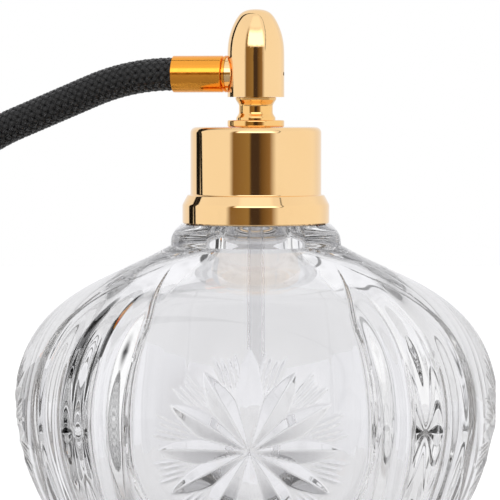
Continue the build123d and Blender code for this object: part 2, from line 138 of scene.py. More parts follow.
def encloses(vertices, faces):
    """Six times the volume inside the faces, negative if they face inwards."""
    points = np.asarray(vertices)
    corners = points[np.array([face[:3] for face in faces])]
    first = np.einsum("ij,ij->i", corners[:, 0], np.cross(corners[:, 1], corners[:, 2]))
    if len(faces[0]) == 3:
        return first.sum()
    corners = points[np.array([(face[0], face[2], face[3]) for face in faces])]
    return (first + np.einsum("ij,ij->i", corners[:, 0], np.cross(corners[:, 1], corners[:, 2]))).sum()


def new_mesh(name, vertices, faces, material, smooth_angle=35):
    """A smooth-shaded mesh piece. Edges sharper than smooth_angle stay crisp, or none if it is None."""
    mesh = bpy.data.meshes.new(name)
    mesh.from_pydata([tuple(v) for v in vertices], [], faces)
    if encloses(vertices, faces) < 0:
        mesh.flip_normals()
    mesh.shade_smooth()
    if smooth_angle:
        mesh.set_sharp_from_angle(angle=radians(smooth_angle))
    mesh.materials.append(material)
    piece = bpy.data.objects.new(name, mesh)
    bpy.context.scene.collection.objects.link(piece)
    return piece


def grid_faces(rows, columns, wrap_rows=False):
    """Quads of a grid whose columns wrap round."""
    faces = []
    for i in range(rows if wrap_rows else rows - 1):
        a, b = i * columns, (i + 1) % rows * columns
        for j in range(columns):
            k = (j + 1) % columns
            faces.append((a + j, a + k, b + k, b + j))
    return faces


def lathe(name, outline, material, body, around):
    """A turned piece from its (radius, height) outline, whose last point joins the first."""
    outline = np.asarray(outline, float)
    angles = np.linspace(0, 2 * pi, around, endpoint=False)
    ring = np.stack([np.cos(angles), np.sin(angles)], 1)
    radius = np.maximum(outline[:, 0], 1e-6)
    xy = radius[:, None, None] * ring[None]
    z = np.broadcast_to(outline[:, 1][:, None, None], (len(outline), around, 1))
    vertices = np.concatenate([xy, z], 2).reshape(-1, 3)
    piece = new_mesh(name, vertices, grid_faces(len(outline), around, True), material)
    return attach(piece, body)


def laid(origin, direction):
    """The transform that puts a piece drawn along +Z on a line from origin towards direction."""
    return Matrix.Translation(origin) @ direction.to_track_quat("Z", "Y").to_matrix().to_4x4()


# ---------------------------------------------------------------- materials


def shader_tree(name):
    """A new material and its empty node tree."""
    material = bpy.data.materials.new(name)
    material.use_nodes = True
    tree = material.node_tree
    tree.nodes.clear()
    return material, tree


def add(tree, kind, settings=None, **inputs):
    """A new node. settings are its own properties; inputs are values or sockets, named with _ for spaces."""
    node = tree.nodes.new("ShaderNode" + kind)
    for key, value in (settings or {}).items():
        setattr(node, key, value)
    for key, value in inputs.items():
        socket = node.inputs[int(key[1:])] if key[1:].isdigit() else node.inputs[key.replace("_", " ")]
        if isinstance(value, bpy.types.NodeSocket):
            tree.links.new(value, socket)
        else:
            socket.default_value = value
    return node


def maths(tree, operation, first, second=0.0):
    """The result of one Math node."""
    return add(tree, "Math", {"operation": operation}, i0=first, i1=second).outputs[0]


def ramp(tree, factor, stops):
    """A colour ramp through (position, grey or colour) stops."""
    node = add(tree, "ValToRGB", Fac=factor)
    elements = node.color_ramp.elements
    while len(elements) < len(stops):
        elements.new(1)
    for element, (position, colour) in zip(elements, stops):
        element.position = position
        element.color = (*colour, 1) if isinstance(colour, tuple) else (colour, colour, colour, 1)
    return node.outputs["Color"]


def mix_colours(tree, factor, first, second, how="MIX"):
    """Two colours or colour sockets mixed by a factor."""
    first = (*first, 1) if isinstance(first, tuple) else first
    second = (*second, 1) if isinstance(second, tuple) else second
    settings = {"data_type": "RGBA", "blend_type": how}
    return add(tree, "Mix", settings, Factor=factor, i6=first, i7=second).outputs[2]


def window(tree, factor, places):
    """A ramp that is 0, rises between the first two places, stays, and falls between the last two."""
    rise, full, still_full, end = places
    return ramp(tree, factor, [(rise, 0.0), (full, 1.0), (still_full, 1.0), (end, 0.0)])


def finish_material(tree, shader):
    """Makes shader the material's surface."""
    add(tree, "OutputMaterial", Surface=shader)


def object_noise(tree, scale, detail, stretch=(1, 1, 1)):
    """Noise laid through the piece in its own metres."""
    place = add(tree, "TexCoord").outputs["Object"]
    stretched = add(tree, "Mapping", Vector=place, Scale=stretch).outputs[0]
    return add(tree, "TexNoise", Vector=stretched, Scale=scale, Detail=detail).outputs["Fac"]


def metal(name, colour, deep, roughness):
    """Polished plate: slightly uneven colour, handling marks in the roughness, a trace of waviness."""
    material, tree = shader_tree(name)
    tone = object_noise(tree, 60, 3)
    mixed = mix_colours(tree, tone, colour, deep)
    marks = object_noise(tree, 900, 6, (1, 1, 0.2))
    haze = ramp(tree, marks, [(0.35, roughness * 0.7), (0.8, roughness * 1.5)])
    bump = add(tree, "Bump", Height=object_noise(tree, 240, 2), Strength=0.02, Distance=0.0003).outputs[0]
    body = add(tree, "BsdfPrincipled", Base_Color=mixed, Metallic=1.0, Roughness=haze, Normal=bump)
    finish_material(tree, body.outputs[0])
    return material


def crystal():
    """Lead crystal: clear, a trace of grey in thick glass, faint striae. Lamps shine straight through."""
    material, tree = shader_tree("crystal")
    striae = object_noise(tree, 35, 3, (1, 1, 0.35))
    tint = ramp(tree, striae, [(0.3, (0.965, 0.965, 0.975)), (0.7, (0.98, 0.98, 0.985))])
    bump = add(tree, "Bump", Height=object_noise(tree, 90, 1), Strength=0.05, Distance=0.0004).outputs[0]
    glass = add(tree, "BsdfPrincipled", Base_Color=tint, Transmission_Weight=1.0, IOR=1.54,
                Roughness=0.0, Normal=bump)
    clear = add(tree, "BsdfTransparent", Color=(0.72, 0.72, 0.74, 1))
    shadow = add(tree, "LightPath").outputs["Is Shadow Ray"]
    both = add(tree, "MixShader", Fac=shadow, i1=glass.outputs[0], i2=clear.outputs[0])
    finish_material(tree, both.outputs[0])
    return material


def washed_out(tree, shader):
    """Makes a black thing show as grey where it is only seen through the thick, bright crystal."""
    nothing = add(tree, "BsdfTransparent")
    faint = add(tree, "MixShader", Fac=0.9, i1=shader, i2=nothing.outputs[0])
    through_glass = add(tree, "LightPath").outputs["Is Transmission Ray"]
    return add(tree, "MixShader", Fac=through_glass, i1=shader, i2=faint.outputs[0]).outputs[0]


def soft(name, light, dark, scale, roughness, bump_depth, clear=0.0):
    """Rubber or plastic: two close tones, uneven roughness and a fine grain. clear is its share of glass."""
    material, tree = shader_tree(name)
    tone = object_noise(tree, scale, 5)
    colour = mix_colours(tree, tone, light, dark)
    rough = ramp(tree, tone, [(0.3, roughness * 0.85), (0.75, min(1.0, roughness * 1.2))])
    grain = object_noise(tree, scale * 6, 3)
    bump = add(tree, "Bump", Height=grain, Strength=0.4, Distance=bump_depth).outputs[0]
    body = add(tree, "BsdfPrincipled", Base_Color=colour, Roughness=rough, Normal=bump,
               Transmission_Weight=clear, IOR=1.46)
    finish_material(tree, body.outputs[0] if clear else washed_out(tree, body.outputs[0]))
    return material


def thread():
    """Black silk thread: fine fibres that run slanted along each strand, in a soft sheen."""
    material, tree = shader_tree("black_thread")
    uv = add(tree, "TexCoord").outputs["UV"]
    fibres = add(tree, "TexWave", {"bands_direction": "DIAGONAL"}, Vector=uv, Scale=2.2, Distortion=1.5,
                 Detail=2.0, Detail_Scale=3.0).outputs["Fac"]
    colour = ramp(tree, fibres, [(0.1, (0.002, 0.002, 0.003)), (0.9, (0.012, 0.012, 0.013))])
    rough = ramp(tree, object_noise(tree, 700, 2), [(0.3, 0.2), (0.8, 0.42)])
    bump = add(tree, "Bump", Height=fibres, Strength=0.8, Distance=0.0001).outputs[0]
    body = add(tree, "BsdfPrincipled", Base_Color=colour, Roughness=rough, Normal=bump,
               Specular_IOR_Level=0.6)
    finish_material(tree, washed_out(tree, body.outputs[0]))
    return material


CRYSTAL = crystal()
GOLD = metal("gold_plate", (0.97, 0.68, 0.36), (0.94, 0.63, 0.31), 0.05)
WARM_GOLD = metal("warm_gold", (0.97, 0.61, 0.24), (0.94, 0.56, 0.2), 0.05)
DEEP_GOLD = metal("deep_gold", (0.95, 0.41, 0.06), (0.92, 0.36, 0.04), 0.14)
BRASS = metal("plain_brass", (0.74, 0.56, 0.27), (0.66, 0.48, 0.2), 0.28)
NICKEL = metal("nickel_plate", (0.74, 0.73, 0.71), (0.66, 0.65, 0.63), 0.22)
STEEL = metal("steel", (0.62, 0.63, 0.65), (0.5, 0.51, 0.53), 0.18)
THREAD = thread()
RUBBER = soft("black_rubber", (0.018, 0.018, 0.019), (0.03, 0.029, 0.028), 180, 0.55, 0.00008)
LINER = soft("white_plastic", (0.87, 0.89, 0.92), (0.81, 0.83, 0.86), 120, 0.4, 0.00003)
TUBE_PLASTIC = soft("clear_plastic", (0.99, 0.99, 0.99), (0.97, 0.97, 0.98), 90, 0.05, 0.000005, 0.97)

# ---------------------------------------------------------------- bottle

PANELS = 4
PANEL_EDGE = 28.5  # degrees from a panel's middle to its edge cut
REED = 11.0  # degrees across one of the three reeds between panels
PATTERN_TURN = -1.5  # the cutting stands a little off the front
STAR_Z = 38.1 * MM
PETALS = 12
PETAL_START, PETAL_LENGTH, PETAL_HALF = 0.3 * MM, 17.6 * MM, 2.45 * MM
FAN_RAYS = (-6.0, -2.2, 2.2, 6.0)  # degrees off the line midway between two petals
FAN_START, FAN_LENGTH, FAN_HALF = 11.2 * MM, 7 * MM, 0.42 * MM
CUT_SLOPE = 0.6  # depth over half width of the cutter's V
EDGE_LOW, EDGE_LENGTH, EDGE_HALF = 20 * MM, 52 * MM, 1.45 * MM  # the cut along a panel's edge
EDGE_DEEPER = 1.5  # how much deeper that cut is than the cutter's slope gives
PANEL_NARROWS, PANEL_SPREADS = 35 * MM, 60 * MM  # below the first height, above the second
REED_CUT_TOP, REED_CUT_HALF = 60.2 * MM, 1.35 * MM  # the cuts between reeds
REED_BULGE, REED_TOP, REED_FADE = 0.5 * MM, 70 * MM, 14 * MM
UNCUT_FOOT, FOOT_FADE = 1.2 * MM, 4 * MM
BACK_FROM, BACK_FADE = 95, 10  # degrees from the front
BACK_CUTTING = 0.28  # how deep the cuts round the back are, against the front's
FINE_TO, BACK_COARSER = 106, 2.5  # columns are close together up to this angle on both sides

OUTSIDE = [(22.5, 0.8), (37.6, 13.7), (46.2, 28.4), (49.3, 43.1), (44.7, 57.8), (32.3, 67.7), (22.2, 72.4),
           (17.4, 74.9)]
INSIDE = [(6.5, 75.5), (8.0, 69.0), (14.0, 63.5), (22.5, 59.0), (28.0, 52.5), (31.0, 43.5), (29.5, 30.0),
          (21.0, 17.5), (11.0, 13.3), (0.01, 12.0)]
NECK_BEAD = [(17.4, 74.9), (17.0, 77.2)]
NECK_R, BORE_R = 9.4 * MM, 6.5 * MM
FOOT = [(0.01, 1.0), (14, 0.6), (19, 0), (21.7, 0)]


def v_cut(off_line, half_width):
    """Depth of a V-shaped cut with the given half width, at a distance off its centre line."""
    return CUT_SLOPE * np.maximum(half_width - np.abs(off_line), 0)


def u_cut(off_line, half_width):
    """Depth of a round-bottomed cut with soft lips."""
    across = np.clip(off_line / np.maximum(half_width, 1e-9), -1, 1)
    return CUT_SLOPE * half_width * np.cos(across * pi / 2) ** 2


def lens(along, start, length, half_width):
    """Half width of a cut that swells from nothing to half_width and back."""
    t = np.clip((along - start) / length, 0, 1)
    return half_width * 4 * t * (1 - t)


def star_depth(u, v):
    """The star panel's cutting at u across and v up from the star's centre."""
    depth = np.zeros_like(u)
    for k in range(PETALS):
        angle = radians(k * 360 / PETALS)
        along = u * cos(angle) + v * sin(angle)
        across = v * cos(angle) - u * sin(angle)
        length = PETAL_LENGTH * (1.12 if k == PETALS // 4 else 1.0)
        depth = np.maximum(depth, v_cut(across, lens(along, PETAL_START, length, PETAL_HALF)))
        for ray in FAN_RAYS:
            fan = angle + radians(180 / PETALS + ray)
            along = u * cos(fan) + v * sin(fan)
            across = v * cos(fan) - u * sin(fan)
            start = FAN_START + abs(ray) / 4 * MM
            depth = np.maximum(depth, v_cut(across, lens(along, start, FAN_LENGTH, FAN_HALF)))
    return depth


def edge_angle(z):
    """Half the star panel's angle at a height: less below the star, more over the shoulder."""
    below = np.clip((PANEL_NARROWS - z) / MM, 0, None) ** 1.3 * 0.2
    above = np.clip((z - PANEL_SPREADS) / MM, 0, None) ** 2 * 0.105
    return np.minimum(PANEL_EDGE - below + above, 180 / PANELS)


def cut_depth(angle, r, z, arc, starred):
    """Depth of all the cutting at an angle from the nearest panel's middle, a radius, a height and an arc."""
    across = np.radians(angle) * r
    depth = star_depth(across, arc) * starred
    edge = np.radians(np.abs(angle) - edge_angle(z)) * r
    width = lens(z, EDGE_LOW, EDGE_LENGTH, EDGE_HALF)
    depth = np.maximum(depth, u_cut(edge, width) * EDGE_DEEPER)
    for line in (PANEL_EDGE + REED, PANEL_EDGE + 2 * REED):
        off = np.radians(np.abs(angle) - line) * r
        width = np.clip((REED_CUT_TOP - z) / 6, 0, REED_CUT_HALF)
        depth = np.maximum(depth, u_cut(off, width))
    in_reeds = np.abs(angle) - PANEL_EDGE
    bulge = np.where(in_reeds > 0, np.sin(pi * np.mod(in_reeds, REED) / REED) ** 2, 1.0)
    fade = np.clip((REED_TOP - z) / REED_FADE, 0, 1)
    return np.maximum(depth, (1 - bulge) * REED_BULGE * fade)


def body_points(angles, rows, arc_from_star):
    """The cut body: rows of (r, z) turned through angles in radians, pushed in by the cutting."""
    r, z = rows[:, 0][:, None], rows[:, 1][:, None]
    slope = np.gradient(rows, axis=0)
    slope = slope / np.hypot(*slope.T)[:, None]
    normal_r, normal_z = slope[:, 1][:, None], -slope[:, 0][:, None]
    turn = np.degrees(angles) - PATTERN_TURN
    panel = 360 / PANELS
    local = np.mod(turn + panel / 2, panel) - panel / 2
    starred = np.cos(np.radians(turn)) > -0.5  # a star on the back panel would show through the front one
    local = np.broadcast_to(local, (len(rows), len(angles)))
    depth = cut_depth(local, r, z, arc_from_star[:, None], starred)
    foot = np.clip((z - UNCUT_FOOT) / FOOT_FADE, 0, 1)
    behind = np.clip((np.abs(np.mod(turn + 180, 360) - 180) - BACK_FROM) / BACK_FADE, 0, 1)
    depth = depth * foot * (1 - (1 - BACK_CUTTING) * behind)
    out_r, out_z = r - normal_r * depth, z - normal_z * depth
    heading = angles + pi * 1.5
    return np.stack([out_r * np.cos(heading), out_r * np.sin(heading), out_z], 2)


def in_metres(outline):
    """An outline given in millimetres, as an array in metres."""
    return np.array(outline) * MM


def bottle():
    """The bottle: foot, cut body, neck bead, ground neck, bore and hollow, as one closed surface."""
    turn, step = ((0.26, 0.25 * MM))
    front = np.arange(-FINE_TO, FINE_TO, turn)
    back = np.arange(FINE_TO, 360 - FINE_TO, BACK_COARSER * turn)
    angles = np.radians(np.concatenate([front, back]))
    columns = len(angles)
    body = smooth_line(in_metres(OUTSIDE), step)
    arc = np.concatenate([[0], np.cumsum(np.hypot(*np.diff(body, axis=0).T))])
    arc -= np.interp(STAR_Z, body[:, 1], arc)
    cut = body_points(angles, body, arc)
    seat_z = COLLAR[0].z - 0.15 * MM
    edge = 0.4 * MM
    bead = smooth_line([*in_metres(NECK_BEAD), (15.3 * MM, seat_z)], edge)[1:]
    rim = [(NECK_R, seat_z), (NECK_R, NECK_TOP - edge), (NECK_R - edge, NECK_TOP),
           (BORE_R + edge, NECK_TOP), (BORE_R, NECK_TOP - edge)]
    inner = smooth_line(in_metres(INSIDE), edge)
    heading = angles + pi * 1.5
    circle = np.stack([np.cos(heading), np.sin(heading)], 1)

    def turned(rows):
        rows = np.asarray(rows)
        xy = rows[:, 0][:, None, None] * circle[None]
        z = np.broadcast_to(rows[:, 1][:, None, None], (len(rows), columns, 1))
        return np.concatenate([xy, z], 2)

    grid = np.concatenate([turned(in_metres(FOOT)), cut, turned(bead), turned(rim), turned(inner)])
    piece = new_mesh("bottle", grid.reshape(-1, 3), grid_faces(len(grid), columns), CRYSTAL, 40)
    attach(piece, "bottle")
    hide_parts("bottle_glass")
    return piece


bottle()

# ---------------------------------------------------------------- closure

COLLAR_R, COLLAR_WALL, COLLAR_BORE = 13.35 * MM, 0.7 * MM, 3.2 * MM
COLLAR_SHOULDER, COLLAR_STEP = 3.85 * MM, 5.85 * MM  # heights above the collar's foot
SHANK_R, SPIGOT_R, SPINDLE_BORE, SOCKET_R = 3.1 * MM, 1.25 * MM, 0.8 * MM, 2.6 * MM
SHANK_END, DISC_TOP = 89.4 * MM, 100.4 * MM
SPOOL_WAIST, SPOOL_RIM, SPOOL_FOOT = 3.45 * MM, 4.2 * MM, 4.0 * MM
GAP_AT_DISC = 0.03 * MM


def collar():
    """The spun collar: rolled foot, sloping shoulder, upper cylinder with a rounded top."""
    low, high = COLLAR[0].z, COLLAR[1].z
    flange, upper = COLLAR[1].x, COLLAR_R
    shoulder, step = low + COLLAR_SHOULDER, low + COLLAR_STEP
    wall, bore = COLLAR_WALL, COLLAR_BORE
    outline = rounded([
        (flange - wall, low, 0),
        (flange - 0.25 * MM, low, 0),
        (flange, low + 0.25 * MM, 0),
        (flange, shoulder, 1.2 * MM),
        (upper + 0.6 * MM, step, 0.3 * MM),
        (upper, step, 0.25 * MM),
        (upper, high, 1.2 * MM),
        (bore, high, 0),
        (bore, high - wall, 0),
        (upper - wall, high - wall, 0.6 * MM),
        (upper - wall, shoulder - wall, 0),
        (flange - wall, shoulder - wall, 0.6 * MM),
        (flange - wall, low, 0),
    ])
    piece = lathe("collar", outline[:-1], GOLD, "closure", around=240)
    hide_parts("collar_shell")
    return piece


collar()


def spindle():
    """The disc on the collar, the waisted spool under the head, and the shank down into the closure."""
    disc_r = STEM[1].x
    disc_low = COLLAR[1].z + GAP_AT_DISC
    spool_top = HEAD[0].z - GAP_AT_DISC
    outline = rounded([
        (SPINDLE_BORE, STEM[1].z, 0),
        (SOCKET_R, STEM[1].z, 0),
        (SOCKET_R, spool_top, 0),
        (SPOOL_RIM, spool_top, 0.15 * MM),
        (SPOOL_RIM - 0.1 * MM, spool_top - 0.55 * MM, 0.3 * MM),
        (SPOOL_WAIST, spool_top - 1.5 * MM, 1.0 * MM),
        (SPOOL_WAIST, DISC_TOP + 1.4 * MM, 1.0 * MM),
        (SPOOL_FOOT, DISC_TOP + 0.5 * MM, 0.2 * MM),
        (SPOOL_FOOT, DISC_TOP, 0),
        (disc_r, DISC_TOP, 0.25 * MM),
        (disc_r, disc_low, 0.25 * MM),
        (SHANK_R, disc_low, 0),
        (SHANK_R, SHANK_END, 0),
        (SPIGOT_R, SHANK_END, 0),
        (SPIGOT_R, STEM[0].z, 0),
        (SPINDLE_BORE, STEM[0].z, 0),
    ])
    piece = lathe("spindle", outline[:-1], WARM_GOLD, "head", around=160)
    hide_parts("stem")
    return piece


spindle()

# ---------------------------------------------------------------- thread work


def strands(name, lines, half_width, half_thick, around=6):
    """Flattened threads along lines of (points, outward normals), one mesh with a UV along each thread."""
    turn = np.linspace(0, 2 * pi, around, endpoint=False)
    vertices, faces, uvs = [], [], []
    for points, outward in lines:
        heading = np.gradient(points, axis=0)
        heading /= np.linalg.norm(heading, axis=1)[:, None]
        across = np.cross(heading, outward)
        across /= np.linalg.norm(across, axis=1)[:, None]
        out = np.cross(across, heading)
        ring = (
            points[:, None]
            + across[:, None] * (half_width * np.cos(turn))[None, :, None]
            + out[:, None] * (half_thick * np.sin(turn))[None, :, None]
        )
        first = len(vertices)
        vertices.extend(ring.reshape(-1, 3))
        run = np.concatenate([[0], np.cumsum(np.linalg.norm(np.diff(points, axis=0), axis=1))]) / half_width
        for i in range(len(points) - 1):
            for j in range(around):
                k = (j + 1) % around
                a, b = first + i * around, first + (i + 1) * around
                faces.append((a + j, a + k, b + k, b + j))
                u0, u1 = j / around * 3, (j + 1) / around * 3
                uvs.extend([(u0, run[i]), (u1, run[i]), (u1, run[i + 1]), (u0, run[i + 1])])
    piece = new_mesh(name, vertices, faces, THREAD, None)
    layer = piece.data.uv_layers.new(name="along")
    layer.data.foreach_set("uv", np.array(uvs, np.float32).ravel())
    return piece


# ---------------------------------------------------------------- hose

HOSE_START = 7.23 * MM  # from the head's axis to the hose's own start, inside its ferrule
HOSE_KNOTS = np.cumsum([0, 10.27, 44 * radians(22.5), 18, 40 * radians(20), 8, 40 * radians(20), 9.0]) * MM
HOSE_DIPS = np.radians([0, 0, 22.5, 22.5, 42.5, 42.5, 62.5, 62.5])
HOSE_LENGTH = HOSE_KNOTS[-1]
HOSE_CUT = 47.75 * MM  # where the visible hose is parted, midway between its two bending places
IN_FERRULE = 8.0 * MM
BRAID_STRANDS = 12
BRAID_R, BRAID_WAVE = 2.98 * MM, 0.2 * MM
STRAND_HALF_WIDTH, STRAND_HALF_THICK = 0.56 * MM, 0.26 * MM
CORE_R = 2.72 * MM


def hose_frame(s):
    """Centre line, heading, and the level and steep directions across the hose, at distances s along it."""
    fine = np.linspace(0, HOSE_LENGTH, 2001)
    dip = np.interp(fine, HOSE_KNOTS, HOSE_DIPS)
    out, down = np.array(HOSE_OUT), np.array((0, 0, -1.0))
    step = np.cos(dip)[:, None] * out + np.sin(dip)[:, None] * down
    centre = np.concatenate([[np.zeros(3)], np.cumsum((step[1:] + step[:-1]) / 2, axis=0)]) * fine[1]
    centre += out * HOSE_START + np.array((0, 0, SPRAY_Z))
    place = np.stack([np.interp(s, fine, centre[:, i]) for i in range(3)], 1)
    angle = np.interp(s, HOSE_KNOTS, HOSE_DIPS)
    heading = np.cos(angle)[:, None] * out + np.sin(angle)[:, None] * down
    level = np.broadcast_to(np.cross(out, down), heading.shape)
    return place, heading, level, np.cross(heading, level)


def around_hose(s, angle, radius):
    """Points at an angle and radius round the hose, and their outward normals."""
    place, _, level, steep = hose_frame(s)
    outward = level * np.cos(angle)[:, None] + steep * np.sin(angle)[:, None]
    return place + outward * radius[:, None], outward


def braid(name, start, end):
    """A plain braid: strands wind both ways and pass over and under each other."""
    pitch = 2 * pi * BRAID_R
    crossing = pitch / (2 * BRAID_STRANDS)
    s = np.linspace(start, end, round((end - start) / crossing * 4) + 1)
    lines = []
    for way in (1, -1):
        for k in range(BRAID_STRANDS):
            angle = way * 2 * pi * s / pitch + 2 * pi * k / BRAID_STRANDS
            radius = BRAID_R + way * BRAID_WAVE * np.cos(pi * s / crossing)
            lines.append(around_hose(s, angle, radius))
    return strands(name, lines, STRAND_HALF_WIDTH, STRAND_HALF_THICK, around=8)


def core(name, start, end):
    """The rubber tube inside the braid."""
    s = np.linspace(start, end, 90)
    around = 40
    rows = []
    for j in range(around):
        angle = np.full(len(s), 2 * pi * j / around)
        rows.append(around_hose(s, angle, np.full(len(s), CORE_R))[0])
    grid = np.stack(rows, 1)
    return new_mesh(name, grid.reshape(-1, 3), grid_faces(len(s), around), RUBBER, None)


def hose():
    """The hose in two halves, each a braid over a rubber core, parted midway along the visible hose; the upper
    half also stands in for the middle length.
    """
    halves = [
        ("upper", IN_FERRULE, HOSE_CUT, "head", "hose middle", BEND_AT),
        ("lower", HOSE_CUT, HOSE_LENGTH - IN_FERRULE, "hose middle", "bulb", CURL_AT),
    ]
    stands_for = {"upper": ("upper", "middle"), "lower": ("lower",)}
    for place, start, end, before, after, joint in halves:
        along = Vector(hose_frame(np.array([(start + end) / 2]))[1][0])
        for make, kind in ((braid, "hose_braid"), (core, "hose_tube")):
            piece = make(f"{kind}_cover_{place}" if make is braid else f"hose_core_{place}", start, end)
            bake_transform(piece)
            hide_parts(*[f"{kind}_{length}" for length in stands_for[place]])


hose()

# ---------------------------------------------------------------- bulb

BULB_START, BULB_LENGTH = 11.0 * MM, 60.0 * MM
BULB_NECK, BULB_NECK_R, BULB_R = 4.5 * MM, 4.6 * MM, 23.2 * MM
BULB_BORE_R = 3.45 * MM
HOSE_IN_BULB = 9 * MM
BULB_ORIGIN = Vector(hose_frame(np.array([HOSE_LENGTH - HOSE_IN_BULB]))[0][0])
ON_BULB = laid(BULB_ORIGIN, ALONG_BULB)
BULB_END = BULB_START + BULB_LENGTH


def bulb_line(offset=0.0, step=0.8 * MM):
    """The belly's outline from its front neck to its tail neck."""
    front, back = BULB_START + BULB_NECK, BULB_END - BULB_NECK
    points = [
        (BULB_NECK_R + offset, front),
        (9.5 * MM + offset, front + 2.0 * MM),
        (15.5 * MM + offset, front + 6.0 * MM),
        (BULB_R + offset, (front + back) / 2),
        (15.5 * MM + offset, back - 6.0 * MM),
        (9.5 * MM + offset, back - 2.0 * MM),
        (BULB_NECK_R + offset, back),
    ]
    return smooth_line(points, step)


def bulb_blend(piece):
    """Bakes the piece's placement into its mesh."""
    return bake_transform(piece)


def bulb():
    """The rubber bulb with its moulding seam round the middle."""
    outline = np.concatenate([
        [(BULB_BORE_R, BULB_START), (BULB_NECK_R, BULB_START)],
        bulb_line(),
        [(BULB_NECK_R, BULB_END), (BULB_BORE_R, BULB_END)],
    ])
    seam = (BULB_START + BULB_END) / 2
    seam_rise, seam_width = 0.25 * MM, 0.5 * MM
    outline[:, 0] += seam_rise * np.exp(-(((outline[:, 1] - seam) / seam_width) ** 2))
    around = 160
    angles = np.linspace(0, 2 * pi, around, endpoint=False)
    vertices = [(r * cos(a), r * sin(a), z) for r, z in outline for a in angles]
    piece = new_mesh("bulb_skin", vertices, grid_faces(len(outline), around, True), RUBBER)
    piece.data.transform(ON_BULB)
    bulb_blend(piece)
    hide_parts("bulb")
    return piece


def bulb_net():
    """A diamond net of thread over the rubber, drawn together at both necks."""
    count, turns = 40, 0.42
    over_rubber, weave = 0.42 * MM, 0.2 * MM
    line = bulb_line(over_rubber, 0.35 * MM)
    slope = np.gradient(line, axis=0)
    slope /= np.hypot(*slope.T)[:, None]
    share = np.concatenate([[0], np.cumsum(np.hypot(*np.diff(line, axis=0).T))])
    share /= share[-1]
    lines = []
    for way in (1, -1):
        for k in range(count):
            angle = 2 * pi * (way * turns * share + k / count)
            wave = way * weave * np.cos(pi * 2 * turns * count * share)
            r = line[:, 0] + slope[:, 1] * wave
            z = line[:, 1] - slope[:, 0] * wave
            points = np.stack([r * np.cos(angle), r * np.sin(angle), z], 1)
            outward = np.stack([slope[:, 1] * np.cos(angle), slope[:, 1] * np.sin(angle), -slope[:, 0]], 1)
            lines.append((points, outward))
    piece = strands("bulb_netting", lines, 0.5 * MM, 0.34 * MM)
    piece.data.transform(ON_BULB)
    bulb_blend(piece)
    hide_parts("bulb_net")
    return piece


def binding(name, node, low, high, body):
    """Thread wound tightly round one neck of the bulb."""
    thick = 0.42 * MM
    pitch = 1.75 * thick
    turns = (high - low) / pitch
    angle = np.linspace(0, 2 * pi * turns, round(turns * 64))
    z = low + (high - low) * angle / angle[-1]
    outward = np.stack([np.cos(angle), np.sin(angle), 0 * angle], 1)
    points = outward * (BULB_NECK_R + thick + 0.05 * MM)
    points[:, 2] = z
    piece = strands(name, [(points, outward)], thick, thick, around=8)
    piece.data.transform(ON_BULB)
    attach(piece, body)
    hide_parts(node)
    return piece


bulb()
bulb_net()
binding("front_whipping", "front_binding", BULB_START + 0.7 * MM, BULB_START + BULB_NECK - 0.3 * MM, "bulb")
binding("tail_whipping", "tail_binding", BULB_END - BULB_NECK + 0.3 * MM, BULB_END - 0.7 * MM, "tail fitting")

# ---------------------------------------------------------------- dip tube


def dip_tube():
    """The clear tube from the spindle's spigot to the bottle's floor, cut on a slant."""
    low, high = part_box("dip_tube")
    bore, outer = 1.28 * MM, (high.x - low.x) / 2
    edge = 0.12 * MM
    outline = [(bore, low.z), (outer - edge, low.z), (outer, low.z + edge), (outer, high.z), (bore, high.z)]
    piece = lathe("dip_tube_clear", outline, TUBE_PLASTIC, "head", around=64)
    slant = (outer * 2) * 0.58
    for vertex in piece.data.vertices:
        if vertex.co.z < low.z + 0.5 * MM:
            vertex.co.z += slant * (0.5 - vertex.co.x / outer / 2)
    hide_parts("dip_tube")
    return piece


dip_tube()

# ---------------------------------------------------------------- CAD nodes that stay as they are

CAD_LOOKS = {
    "neck_ring": NICKEL, "neck_gasket": RUBBER, "closure_insert": LINER, "stem_clip": STEEL,
    "riser_tube": TUBE_PLASTIC, "head_body": GOLD, "nozzle_tip": GOLD,
    "liquid_jet": BRASS, "hose_connector": DEEP_GOLD, "head_ferrule": DEEP_GOLD, "bulb_ferrule": DEEP_GOLD,
    "outlet_body": DEEP_GOLD, "outlet_seat": BRASS, "outlet_ball": STEEL, "outlet_stop_pin": STEEL,
    "bulb": RUBBER, "bulb_net": THREAD, "front_binding": THREAD, "tail_binding": THREAD,
    "intake_body": DEEP_GOLD, "intake_seat": BRASS, "intake_ball": STEEL, "intake_stop_pin": STEEL,
}
for place in ("upper", "middle", "lower"):
    CAD_LOOKS[f"hose_tube_{place}"] = RUBBER
    CAD_LOOKS[f"hose_braid_{place}"] = THREAD
for node_name, look in CAD_LOOKS.items():
    cad = frame["nodes"][node_name]
    cad.data.materials.clear()
    cad.data.materials.append(look)

# ---------------------------------------------------------------- stage, light, camera


FLOOR_REACH = 1.3


